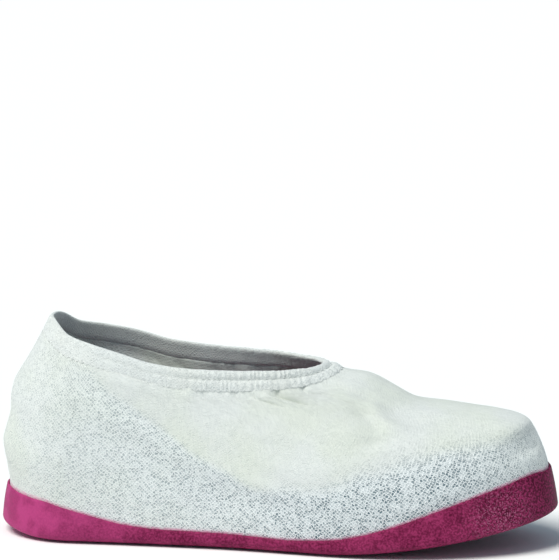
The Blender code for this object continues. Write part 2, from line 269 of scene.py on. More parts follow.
@dataclass(frozen=True)
class FootForm:
    """Sizes and surfaces that the sole, the upper and the hem share."""

    sole_length: float = 0.320
    ball_width: float = 0.116
    waist_width: float = 0.089
    heel_width: float = 0.084
    width_places: tuple[float, ...] = (0.14, 0.38, 0.70)
    toe_cap: float = 0.088
    heel_cap: float = 0.045
    toe_spring: float = 0.018
    toe_spring_length: float = 0.125
    heel_spring: float = 0.0035
    heel_spring_length: float = 0.036
    wall_peak: float = 0.0305
    wall_lean: float = 0.14
    toe_lean: float = 0.045
    toe_lean_from_to: Range = (0.7, 1.0)
    wall_base: float = 0.0022
    wall_edge: float = 0.0012
    corner_radius: float = 0.005
    tread_height: float = 0.0012
    floor: float = 0.003
    collar_length: float = 0.155
    collar_width: float = 0.070
    collar_setback: float = 0.0294
    collar_caps: tuple[float, float] = (0.38, 0.52)
    heel_top: float = 0.1255
    collar_front: float = 0.1005
    clearance: float = 0.0003
    upright_front: Range = (0.70, -0.40)
    upright_back: Range = (-0.85, -0.55)
    upright_side: Range = (0.40, 0.85)
    wall_heights: Curve = Curve((
        (0.00, 0.79), (0.08, 0.77), (0.12, 0.69), (0.17, 0.555), (0.23, 0.42), (0.29, 0.352), (0.36, 0.333),
        (0.43, 0.322), (0.53, 0.282), (0.60, 0.318), (0.67, 0.415), (0.74, 0.56), (0.80, 0.70), (0.86, 0.82),
        (0.91, 0.89), (0.975, 0.94), (1.00, 0.875),
    ))
    rim_rises: Curve = Curve((
        (0.00, 1.00), (0.08, 0.69), (0.17, 0.56), (0.27, 0.42),
        (0.41, 0.19), (0.55, 0.09), (0.80, 0.03), (1.00, 0.00),
    ))
    hem_slopes: Curve = Curve(((0.0, 15.0), (0.20, 50.0), (0.50, 78.0), (0.80, 72.0), (1.0, 62.0)))

    @property
    def half_length(self) -> float:
        """Half of the sole's length."""
        return self.sole_length / 2.0

    @property
    def floor_top(self) -> float:
        """Height of the tray's floor above the underside."""
        return self.tread_height + self.floor

    @property
    def collar_back(self) -> float:
        """Place of the back of the rim along the foot."""
        return self.collar_setback - self.half_length

    def half_width(self, x: Array) -> Array:
        """Half of the footprint's width.

        Args:
            x: Places along the foot.

        Returns:
            The half width at each place.
        """
        widths = Curve(tuple(zip(self.width_places, (self.heel_width, self.waist_width, self.ball_width))))
        from_heel, from_toe = x + self.half_length, self.half_length - x
        body = widths.at(from_heel / self.sole_length) / 2.0
        return body * cap(from_toe, self.toe_cap) * cap(from_heel, self.heel_cap)

    def footprint(self, angles: Array) -> Array:
        """Plan outline of the sole at angles round the foot."""
        x = self.half_length * np.cos(angles)
        return np.stack([x, side_of(angles) * self.half_width(x)], axis=-1)

    def rim_plan(self, angles: Array) -> Array:
        """Plan outline of the collar's rim, a long oval that is fuller at the heel.

        Args:
            angles: Angles round the foot.

        Returns:
            The outline's x and y.
        """
        along = (1.0 + np.cos(angles)) / 2.0
        back, front = self.collar_caps
        fullness = cap(along, back) * cap(1.0 - along, front)
        y = side_of(angles) * self.collar_width / 2.0 * fullness
        return np.stack([self.collar_back + self.collar_length * along, y], axis=-1)

    @staticmethod
    def outward(contour: Callable[[Array], Array], angles: Array) -> Array:
        """Unit normals of a plan contour, away from the foot.

        Args:
            contour: The method that gives the contour.
            angles: Angles round the foot.

        Returns:
            The normals' x and y.
        """
        step = 0.004
        run = contour(angles + step) - contour(angles - step)
        normal = np.stack([run[..., 1], -run[..., 0]], axis=-1)
        return normal / np.linalg.norm(normal, axis=-1, keepdims=True)

    def ground(self, x: Array) -> Array:
        """Height of the underside above the ground, where the toe and the heel curve up.

        Args:
            x: Places along the foot.

        Returns:
            The height at each place.
        """
        toe = np.maximum(0.0, x - (self.half_length - self.toe_spring_length)) / self.toe_spring_length
        heel = np.maximum(0.0, -x - (self.half_length - self.heel_spring_length)) / self.heel_spring_length
        return self.toe_spring * toe ** 1.5 + self.heel_spring * heel ** 2

    def wall_height(self, angles: Array) -> Array:
        """Height of the rubber wall above the underside."""
        along = self.footprint(angles)[..., 0]
        return self.wall_peak * self.wall_heights.at(along / self.sole_length + 0.5)

    def on_wall(self, angles: Array, height: Array | float, inset: Array | float) -> Array:
        """Points on or beside the wall.

        Args:
            angles: Angles round the foot.
            height: How far above the underside they are.
            inset: How far inside the footprint they are.

        Returns:
            One point for each angle.
        """
        outline = self.footprint(angles)
        plan = outline - self.outward(self.footprint, angles) * np.asarray(inset)[..., None]
        return np.concatenate([plan, (self.ground(outline[..., 0]) + height)[..., None]], axis=-1)

    def outer_inset(self, angles: Array, height: Array) -> Array:
        """Inset of the leaning outer face at a height; it leans most at the tip of the toe."""
        lean = self.wall_lean + self.toe_lean * ramp(np.cos(angles), *self.toe_lean_from_to)
        return lean * np.maximum(0.0, height - self.corner_radius)

    def inner_inset(self, angles: Array, height: Array) -> Array:
        """Inset of the tapering inner face.

        Args:
            angles: Angles round the foot.
            height: Height above the underside.

        Returns:
            How far inside the footprint the face is.
        """
        top = self.wall_height(angles)
        share = (height - self.floor_top) / (top - self.floor_top)
        return self.wall_base + (self.outer_inset(angles, top) + self.wall_edge - self.wall_base) * share

    def wale_turns(self, points: Array, angles: Array) -> Array:
        """Where the knit's wales stand round the foot.

        They run straight up the sides, and fan out with the columns over the toe and round the heel.

        Args:
            points: Surface of rows by closed columns.
            angles: The columns' angles.

        Returns:
            Shares of the way round, from -0.5 at the heel by 0 at the toe to 0.5.
        """
        x = np.clip(points[..., 0] / self.half_length, -1.0, 1.0)
        upright = np.arccos(x)
        own = np.broadcast_to(math.pi * turned(angles), upright.shape)
        middle = ramp(x, *self.upright_front) * ramp(x, *self.upright_back)
        side = ramp(np.abs(np.sin(angles)), *self.upright_side)
        bent = own + (upright - own) * middle * side
        fine = np.radians(np.arange(0.0, 180.25, 0.25))
        run = arc_lengths(self.footprint(fine), 0)
        return side_of(angles) * 0.5 * np.interp(bent, fine, run) / run[-1]

    def rim_point(self, angles: Array) -> Array:
        """Points of the collar's rim.

        Args:
            angles: Angles round the foot.

        Returns:
            One point for each angle.
        """
        plan = self.rim_plan(angles)
        share = self.rim_rises.at((plan[..., 0] - self.collar_back) / self.collar_length)
        z = self.collar_front + (self.heel_top - self.collar_front) * share
        return np.concatenate([plan, z[..., None]], axis=-1)

    def hem_point(self, angles: Array, down: Array | float, out: Array | float) -> Array:
        """Points of the hem.

        Args:
            angles: Angles round the foot.
            down: How far down from the rim they are.
            out: How far out of the hem's middle surface they are.

        Returns:
            One point for each angle.
        """
        slope = np.radians(self.hem_slopes.at(turned(angles)))
        plan = self.outward(self.rim_plan, angles)
        flat, steep = np.cos(slope)[..., None], np.sin(slope)[..., None]
        direction = np.concatenate([plan * flat, -steep], axis=-1)
        normal = np.concatenate([plan * steep, flat], axis=-1)
        down, out = np.asarray(down)[..., None], np.asarray(out)[..., None]
        return self.rim_point(angles) + direction * down + normal * out

    def upper_rows(self, angles: Array, tucks: tuple[float, ...], below_hem: tuple[float, ...],
                   out: float) -> Array:
        """Rows of control points of the upper's outer face, from its tuck in the rubber to the hem.

        Args:
            angles: Angles of the columns.
            tucks: Shares of the rubber wall's height where the tucked part has rows.
            below_hem: Distances down from the rim of the rows next to the hem, the lowest first.
            out: How far the rows next to the hem lie out of the hem's middle surface.

        Returns:
            Points in an array of rows by columns by 3.
        """
        low = self.floor_top + self.clearance
        rows = []
        for share in tucks:
            level = low + (self.wall_height(angles) - low) * share
            rows.append(self.on_wall(angles, level, self.inner_inset(angles, level) + self.clearance))
        seam = rows[-1]
        hem = [self.hem_point(angles, down, out) for down in below_hem]
        places = [profile.angle for profile in PROFILES]
        for steps in zip(*(profile.steps for profile in PROFILES)):
            shares = [Curve(tuple(zip(places, column))).at(turned(angles)) for column in zip(*steps)]
            rows.append(seam + (hem[0] - seam) * np.stack(shares, axis=-1))
        return np.stack(rows + hem)


# Meshes

def column_angles(count: int) -> Array:
    """Evenly spaced angles round the foot."""
    return np.arange(count) * TAU / count


def through(rows: Array, knots: Array, places: Array) -> tuple[Array, Array]:
    """Smooth way through rows of points.

    Args:
        rows: Array of rows by columns by coordinates.
        knots: Where each row stands along the way.
        places: Where to read it.

    Returns:
        The points there, and where each place stands, counted in rows.
    """
    slope = np.gradient(rows, knots, axis=0)
    index = np.clip(np.searchsorted(knots, places, side="right") - 1, 0, len(knots) - 2)
    span = np.diff(knots)[index]
    share = (places - knots[index]) / span
    s, h = share[:, None, None], span[:, None, None]
    points = (
        (1 + 2 * s) * (1 - s) ** 2 * rows[index]
        + s * (1 - s) ** 2 * h * slope[index]
        + s ** 2 * (3 - 2 * s) * rows[index + 1]
        - s ** 2 * (1 - s) * h * slope[index + 1]
    )
    return points, index + share


def loft(control: Array, count: int) -> tuple[Array, Array]:
    """Smooth surface through rows of control points.

    Args:
        control: Control points, rows by columns by 3.
        count: How many rows the finished surface has.

    Returns:
        The surface's points, and each finished row's place among the control rows.
    """
    chords = np.linalg.norm(np.diff(control, axis=0), axis=-1).mean(axis=1)
    knots = np.concatenate([[0.0], np.cumsum(chords)])
    return through(control, knots, np.linspace(0.0, knots[-1], count))


def ring_normals(points: Array) -> Array:
    """Unit normals of a surface, away from the foot.

    Args:
        points: The surface, of rows by closed columns.

    Returns:
        One normal for each point.
    """
    across = np.roll(points, -1, axis=1) - np.roll(points, 1, axis=1)
    normal = np.cross(across, np.gradient(points, axis=0))
    return normal / np.maximum(np.linalg.norm(normal, axis=-1, keepdims=True), 1e-12)


def arc_lengths(points: Array, axis: int) -> Array:
    """Distance run along a grid or a line of points.

    Args:
        points: The points, with the last axis their coordinates.
        axis: Which axis to run along.

    Returns:
        Distances that start at 0.
    """
    steps = np.linalg.norm(np.diff(points, axis=axis), axis=-1)
    start = np.zeros_like(np.take(steps, [0], axis=axis))
    return np.concatenate([start, np.cumsum(steps, axis=axis)], axis=axis)


def shares_round(line: Array) -> Array:
    """Places of a closed line's points along its length, from 0 to 1."""
    run = arc_lengths(np.concatenate([line, line[:1]]), 0)
    return run[:-1] / run[-1]


def cloth_map(points: Array, turns: Array) -> Array:
    """Flat cloth coordinates: wales counted round the foot from the toe, and metres up from the first row.

    Args:
        points: Surface of rows by closed columns.
        turns: Where each point's wale stands round the foot, from -0.5 at the heel by 0 at the toe to 0.5.

    Returns:
        Coordinates of rows by one more column than points, because the cloth's two edges meet at the heel.
    """
    half = points.shape[1] // 2
    rolled = np.roll(points, half, axis=1)
    closed = np.concatenate([rolled, rolled[:, :1]], axis=1)
    wales = np.roll(turns, half, axis=1)
    seam = np.abs(wales[:, :1])
    wales = np.concatenate([-seam, wales[:, 1:], seam], axis=1)
    return np.stack([wales, arc_lengths(closed, 0)], axis=-1)


def grid_mesh(points: Array, cloth: Array | None, marks: dict[str, Array],
              close_rows: bool = False) -> bmesh.types.BMesh:
    """Lays a grid of faces over a surface of rows by closed columns, and welds its ends together.

    Args:
        points: The surface's points.
        cloth: Cloth coordinates for the UV map, one column more than points, starting at the heel.
        marks: Named values for the vertices, each of rows by columns.
        close_rows: Whether the last row joins the first as well.

    Returns:
        The new mesh.
    """
    half = points.shape[1] // 2
    points = np.roll(points, half, axis=1)
    rows, columns = points.shape[:2]
    row_faces = rows if close_rows else rows - 1
    mesh = bmesh.new()
    bmesh.ops.create_grid(mesh, x_segments=columns, y_segments=row_faces, size=0.5)
    layers = {}
    for name, values in marks.items():
        layers[mesh.verts.layers.float.new(name)] = np.roll(values, half, axis=1)
    places = {}
    for vert in mesh.verts:
        row, column = round((vert.co.y + 0.5) * row_faces), round((vert.co.x + 0.5) * columns)
        places[vert] = (row, column)
        vert.co = points[row % rows, column % columns]
        for layer, values in layers.items():
            vert[layer] = values[row % rows, column % columns]
    if cloth is not None:
        layer = mesh.loops.layers.uv.new("cloth")
        for face in mesh.faces:
            for loop in face.loops:
                loop[layer].uv = cloth[places[loop.vert]]
    bmesh.ops.remove_doubles(mesh, verts=mesh.verts, dist=WELD)
    return mesh


def mesh_data(name: str, mesh: bmesh.types.BMesh) -> bpy.types.Mesh:
    """Turns a bmesh into mesh data.

    Args:
        name: The data's name.
        mesh: Its geometry, which is used up.

    Returns:
        The mesh data.
    """
    data = bpy.data.meshes.new(name)
    mesh.to_mesh(data)
    mesh.free()
    return data


def in_scene(name: str, data: bpy.types.ID) -> bpy.types.Object:
    """Makes an object and puts it in the scene.

    Args:
        name: The object's name.
        data: What it shows.

    Returns:
        The new object.
    """
    made = bpy.data.objects.new(name, data)
    bpy.context.scene.collection.objects.link(made)
    return made


def piece(name: str, mesh: bmesh.types.BMesh, material: Material) -> bpy.types.Object:
    """Turns a bmesh into a finished, smooth-shaded piece that rides on the part.

    Args:
        name: The piece's name.
        mesh: Its geometry, which is used up.
        material: Its finish.

    Returns:
        The new object.
    """
    data = mesh_data(name, mesh)
    data.shade_smooth()
    data.materials.append(material)
    made = in_scene(name, data)
    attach(made, "root")
    return made


# Shader nodes

@dataclass(frozen=True)
class Net:
    """Adds nodes to one node tree and links them."""

    tree: bpy.types.NodeTree

    def feed(self, node: bpy.types.Node, given: dict[str | int, object]) -> None:
        """Links sockets into a node's inputs, or sets the inputs to plain values.

        Args:
            node: The node.
            given: What goes into each input, by the input's name or number.
        """
        for key, value in given.items():
            socket = node.inputs[key]
            if isinstance(value, Socket):
                self.tree.links.new(value, socket)
            else:
                socket.default_value = (*value, 1.0) if socket.type == "RGBA" else value

    def add(self, kind: str, given: dict[str | int, object], **settings: object) -> bpy.types.Node:
        """Adds a shader node.

        Args:
            kind: Which one, without the words that all their names begin with.
            given: What goes into its inputs.
            settings: Its properties.

        Returns:
            The new node.
        """
        node = self.tree.nodes.new("ShaderNode" + kind)
        for name, value in settings.items():
            setattr(node, name, value)
        self.feed(node, given)
        return node

    def math(self, operation: str, *values: object) -> Socket:
        """Adds a Math node and returns its output."""
        return self.add("Math", dict(enumerate(values)), operation=operation).outputs[0]

    def times(self, *values: object) -> Socket:
        """Multiplies sockets and numbers."""
        return reduce(lambda first, second: self.math("MULTIPLY", first, second), values)

    def ease(self, value: object, low: float, high: float, start: float = 0.0, end: float = 1.0) -> Socket:
        """Maps values smoothly from low..high to start..end."""
        given = {"Value": value, "From Min": low, "From Max": high, "To Min": start, "To Max": end}
        return self.add("MapRange", given, interpolation_type="SMOOTHSTEP").outputs["Result"]

    def mix(self, factor: object, first: object, second: object) -> Socket:
        """Mixes two colours.

        Args:
            factor: Share of the second.
            first: A colour, as a socket or as red, green and blue.
            second: The other.

        Returns:
            The mixed colour.
        """
        node = self.add("Mix", {"Factor": factor}, data_type="RGBA")
        places = [index for index, socket in enumerate(node.inputs) if socket.type == "RGBA"]
        self.feed(node, dict(zip(places, (first, second))))
        return next(socket for socket in node.outputs if socket.type == "RGBA")

    def split(self, vector: Socket) -> dict[str, Socket]:
        """Separates a vector or a colour into its X, Y and Z."""
        return {socket.name: socket for socket in self.add("SeparateXYZ", {0: vector}).outputs}

    def join(self, x: Socket, y: Socket) -> Socket:
        """Combines two values into a flat place."""
        return self.add("CombineXYZ", {"X": x, "Y": y}).outputs[0]

    def clouds(self, place: Socket, size: object, detail: float = 2.0, flat: bool = False,
               output: str = "Fac") -> Socket:
        """Soft noise from 0 to 1.

        Args:
            place: Where it is read.
            size: Size of its features, in the place's own unit.
            detail: How many finer layers it has.
            flat: Whether it is read in two dimensions.
            output: Fac, or Color for three noises at once.

        Returns:
            The noise.
        """
        scale = self.math("DIVIDE", 1.0, size) if isinstance(size, Socket) else 1.0 / size
        given = {"Vector": place, "Scale": scale, "Detail": detail}
        return self.add("TexNoise", given, noise_dimensions="2D" if flat else "3D").outputs[output]

    def bump(self, height: Socket, strength: float, distance: float) -> Socket:
        """Turns a height into a normal."""
        given = {"Height": height, "Strength": strength, "Distance": distance}
        return self.add("Bump", given).outputs["Normal"]


def start_group(name: str, vectors: tuple[str, ...], numbers: tuple[str, ...], results: tuple[str, ...]
                ) -> tuple[Net, dict[str, Socket], bpy.types.Node]:
    """Starts a shader node group.

    Args:
        name: The group's name.
        vectors: Names of its vector inputs.
        numbers: Names of its number inputs.
        results: Names of its outputs, which are numbers.

    Returns:
        The group's net, what it is given, and the node that takes its results.
    """
    tree = bpy.data.node_groups.new(name, "ShaderNodeTree")
    kinds = ((vectors, "INPUT", "Vector"), (numbers, "INPUT", "Float"), (results, "OUTPUT", "Float"))
    for labels, way, kind in kinds:
        for label in labels:
            tree.interface.new_socket(label, in_out=way, socket_type="NodeSocket" + kind)
    given = {socket.name: socket for socket in tree.nodes.new("NodeGroupInput").outputs}
    return Net(tree), given, tree.nodes.new("NodeGroupOutput")


def start_material(name: str) -> tuple[Material, Net, bpy.types.Node, Socket]:
    """Starts a material.

    Args:
        name: The material's name.

    Returns:
        The material, its net, its shader, and places on the object.
    """
    material = bpy.data.materials.new(name)
    material.use_nodes = True
    net = Net(material.node_tree)
    place = net.add("TexCoord", {}).outputs["Object"]
    return material, net, material.node_tree.nodes["Principled BSDF"], place


def knit_loops_group() -> bpy.types.NodeTree:
    """Makes the group for a net of crossing strands round small uneven holes, and the ribs of the knit.

    Returns:
        The group, which gives the height of the strands, a mask of the holes and a mask of the ribs.
    """
    wobble_size, jitter, widening = 1.0 / 300.0, 0.50, 0.07
    hole_depth, strand_edge, hole_edge, rib_pitch = (0.36, 1.0), (0.02, 0.32), (0.12, 0.27), (1.3, 0.22)
    net, given, result = start_group(
        "knit_loops", ("Cloth", "Place"), ("Wales", "Course", "Opening"), ("Height", "Hole", "Ribs")
    )
    wobble = net.split(net.clouds(given["Place"], wobble_size, output="Color"))
    cloth = net.split(given["Cloth"])

    def wandered(steps: Socket, shift: Socket) -> Socket:
        """Count of wales or courses, moved by the wobble."""
        return net.math("ADD", steps, net.math("SUBTRACT", shift, 0.5))

    across = wandered(net.times(cloth["X"], given["Wales"]), wobble["X"])
    up = wandered(net.math("DIVIDE", cloth["Y"], given["Course"]), wobble["Y"])
    crossing = net.join(net.math("ADD", across, up), net.math("SUBTRACT", across, up))

    def cells(feature: str, output: str) -> Socket:
        """Cells of the net, whose edges are the strands."""
        place = {"Vector": crossing, "Scale": 1.0, "Randomness": jitter}
        return net.add("TexVoronoi", place, voronoi_dimensions="2D", feature=feature).outputs[output]

    edge = cells("DISTANCE_TO_EDGE", "Distance")
    depth = net.ease(net.split(cells("F1", "Color"))["X"], 0.0, 1.0, *hole_depth)
    opened = net.math("ADD", edge, net.times(given["Opening"], widening))
    rib_place = net.join(net.times(across, rib_pitch[0]), net.times(up, rib_pitch[1]))
    ribs = net.clouds(rib_place, 1.0, 1.0, flat=True)
    net.feed(result, {
        "Height": net.math("SUBTRACT", 1.0, net.times(net.ease(edge, *strand_edge), depth)),
        "Hole": net.times(net.ease(opened, *hole_edge), depth),
        "Ribs": net.ease(ribs, *WIDE_NOISE),
    })
    return net.tree


def moulded_grain_group() -> bpy.types.NodeTree:
    """Makes the group for the mottled skin of moulded rubber.

    Returns:
        The group, which gives masks of the fine mottle and of broad patches, and the skin's height.
    """
    mottle_edge = (0.32, 0.68)
    net, given, result = start_group(
        "moulded_grain", ("Place",), ("Grain", "Patch"), ("Mottle", "Patches", "Height")
    )
    fine = net.clouds(given["Place"], given["Grain"])
    broad = net.clouds(given["Place"], given["Patch"], 3.0)
    net.feed(result, {
        "Mottle": net.ease(fine, *mottle_edge),
        "Patches": net.ease(broad, *NARROW_NOISE),
        "Height": fine,
    })
    return net.tree


@dataclass(frozen=True)
class KnitFinish:
    """White knitted fabric: loops, holes that show where it is pulled open and as painted shade on the walls,
    hidden as painted light on the lit slopes, and soft warm and cool patches.
    """

    name: str = "knit"
    warm: Colour = (0.710, 0.742, 0.678)
    cool: Colour = (0.732, 0.756, 0.736)
    strand: Colour = (0.862, 0.900, 0.915)
    hole: Colour = (0.045, 0.110, 0.145)
    bleed: Colour = (0.80, 0.34, 0.52)
    wales: int = 316
    course: float = 0.0022
    patch: float = 0.045
    cluster: float = 0.007
    blot: float = 0.004
    fuzz: float = 0.0006
    relief: float = 0.0005
    relief_strength: float = 0.8
    relief_least: float = 0.4
    fuzz_relief: float = 0.35
    rib_strength: float = 0.05
    hole_strength: float = 1.0
    hole_least: float = 0.05
    cluster_strength: Range = (0.78, 1.0)
    strand_from_to: Range = (0.10, 0.95)
    strand_strength: float = 0.9
    blot_from_to: Range = (0.3, 0.6)
    blot_strength: Range = (0.35, 0.85)
    roughness: Range = (0.84, 0.98)

    def build(self, loops: bpy.types.NodeTree) -> Material:
        """Makes the material.

        Args:
            loops: The knit_loops group.

        Returns:
            The finished material.
        """
        material, net, shader, place = start_material(self.name)
        # The opening mark also paints light and shade: dark holes on the shaded walls, none on the slopes
        # that face the light.
        stretch_and_shade, bleed = (
            net.add("Attribute", {}, attribute_name=mark).outputs["Fac"] for mark in ("stretch_and_shade", "bleed")
        )
        cloth = net.add("UVMap", {}, uv_map="cloth").outputs["UV"]
        knit = net.add("Group", {}, node_tree=loops)
        net.feed(knit, {
            "Cloth": cloth, "Place": place, "Wales": self.wales, "Course": self.course, "Opening": stretch_and_shade,
        })
        ground = net.mix(net.ease(net.clouds(place, self.patch, 3.0), *NARROW_NOISE), self.warm, self.cool)
        valleys = net.times(net.math("SUBTRACT", 1.0, knit.outputs["Ribs"]), self.rib_strength)
        ground = net.mix(valleys, ground, self.hole)
        strands = net.ease(stretch_and_shade, *self.strand_from_to, 0.0, self.strand_strength)
        ground = net.mix(strands, ground, self.strand)
        clusters = net.ease(net.clouds(place, self.cluster), *WIDE_NOISE, *self.cluster_strength)
        shown = net.times(net.math("MULTIPLY_ADD", stretch_and_shade, 1.0 - self.hole_least, self.hole_least), clusters)
        dark = net.times(knit.outputs["Hole"], shown, self.hole_strength)
        blots = net.ease(net.clouds(place, self.blot), *self.blot_from_to, *self.blot_strength)
        fuzz = net.clouds(place, self.fuzz)
        raised = net.math("MULTIPLY_ADD", stretch_and_shade, 1.0 - self.relief_least, self.relief_least)
        height = net.math("MULTIPLY_ADD", fuzz, self.fuzz_relief, net.times(knit.outputs["Height"], raised))
        net.feed(shader, {
            "Base Color": net.mix(net.times(bleed, blots), net.mix(dark, ground, self.hole), self.bleed),
            "Roughness": net.ease(fuzz, *WIDE_NOISE, *self.roughness),
            "Normal": net.bump(height, self.relief_strength, self.relief),
            "Subsurface Weight": 0.2,
            "Subsurface Scale": 0.002,
            "Subsurface Radius": (1.0, 1.0, 1.0),
            "Sheen Weight": 0.25,
            "Sheen Roughness": 0.6,
            "Specular IOR Level": 0.2,
        })
        return material


@dataclass(frozen=True)
class RubberFinish:
    """Raspberry moulded rubber with a fine mottled skin, a painted sheen over the heel, painted shade over
    the toe and painted glints beside it.
    """

    name: str = "rubber"
    # Painted shade: the darker colour laid over the toe, which turns away from the light.
    shade: Colour = (0.050, 0.002, 0.014)
    deep: Colour = (0.105, 0.003, 0.030)
    bright: Colour = (0.35, 0.034, 0.125)
    # Painted sheen: the paler colour laid over the heel as a highlight of the light on its side.
    pale: Colour = (0.50, 0.060, 0.220)
    # Painted highlights: pale specks near the toe that stand for glints of the coarse skin catching the
    # light.
    glint: Colour = (0.50, 0.16, 0.28)
    grain: float = 0.0012
    patch: float = 0.012
    speck: float = 0.0009
    relief: float = 0.00016
    relief_strength: float = 0.6
    mottle_share: float = 0.62
    patch_share: float = 0.28
    roughness: Range = (0.50, 0.66)
    glint_place: tuple[float, float, float] = (0.132, -0.038, 0.021)
    glint_from_to: Range = (0.030, 0.004)
    glint_strength: float = 0.75
    glint_roughness: float = 0.3
    speck_from_to: Range = (0.50, 0.68)
    heel_sheen_from_to: Range = (-0.040, -0.165)
    heel_sheen_strength: Range = (0.55, 0.85)
    shade_from_to: Range = (0.095, 0.140)
    shade_strength: Range = (0.70, 0.0)

    def build(self, grain: bpy.types.NodeTree) -> Material:
        """Makes the material.

        Args:
            grain: The moulded_grain group.

        Returns:
            The finished material.
        """
        material, net, shader, place = start_material(self.name)
        skin = net.add("Group", {}, node_tree=grain)
        net.feed(skin, {"Place": place, "Grain": self.grain, "Patch": self.patch})
        mottle, patches = skin.outputs["Mottle"], skin.outputs["Patches"]
        along = net.split(place)["X"]
        away = net.add("VectorMath", {0: place, 1: self.glint_place}, operation="DISTANCE").outputs["Value"]
        specks = net.ease(net.clouds(place, self.speck), *self.speck_from_to)
        # Painted highlights: pale specks round one place near the toe, as glints of the skin.
        glinting = net.times(net.ease(away, *self.glint_from_to), specks, self.glint_strength)
        darker = net.ease(mottle, 0.0, 1.0, *self.shade_strength)
        heel_sheen_patches = net.ease(patches, 0.0, 1.0, *self.heel_sheen_strength)
        # Painted shade: the toe darkens towards its tip.
        toe = net.times(net.ease(along, *self.shade_from_to), darker)
        # Painted sheen: the heel grows paler towards its back, as a highlight.
        heel = net.times(net.ease(along, *self.heel_sheen_from_to), heel_sheen_patches)
        blend = net.math("ADD", net.times(mottle, self.mottle_share), net.times(patches, self.patch_share))
        body = net.mix(blend, self.deep, self.bright)
        for share, colour in ((toe, self.shade), (heel, self.pale), (glinting, self.glint)):
            body = net.mix(share, body, colour)
        plain = net.ease(mottle, 0.0, 1.0, *self.roughness)
        net.feed(shader, {
            "Base Color": body,
            "Roughness": net.math("MULTIPLY_ADD", glinting, self.glint_roughness, plain),
            "Normal": net.bump(skin.outputs["Height"], self.relief_strength, self.relief),
            "Specular IOR Level": 0.10,
        })
        return material


@dataclass(frozen=True)
class ThreadFinish:
    """White sewing thread with fine fibres."""

    name: str = "thread"
    pale: Colour = (0.88, 0.89, 0.85)
    shaded: Colour = (0.66, 0.70, 0.70)
    fibre: float = 0.0005
    roughness: Range = (0.7, 0.9)

    def build(self) -> Material:
        """Makes the material.

        Returns:
            The finished material.
        """
        material, net, shader, place = start_material(self.name)
        fibres = net.clouds(place, self.fibre)
        net.feed(shader, {
            "Base Color": net.mix(fibres, self.shaded, self.pale),
            "Roughness": net.ease(fibres, *WIDE_NOISE, *self.roughness),
        })
        return material


# Sub-assemblies

@dataclass(frozen=True)
class Fold:
    """A soft fold of the fabric, by half turns round the foot and shares of the way up."""

    angle_from: float
    level_from: float
    angle_to: float
    level_to: float
    spread: float
    height: float


@dataclass(frozen=True)
class Dent:
    """A shallow hollow or swelling of the fabric, by its middle and its reach round the foot and up it."""

    angle: float
    level: float
    reach_round: float
    reach_up: float
    height: float


@dataclass(frozen=True)
class Gather:
    """One size of gathers that run down from the hem and die away."""

    count: int
    depth: float
    reach: float
    seed: float


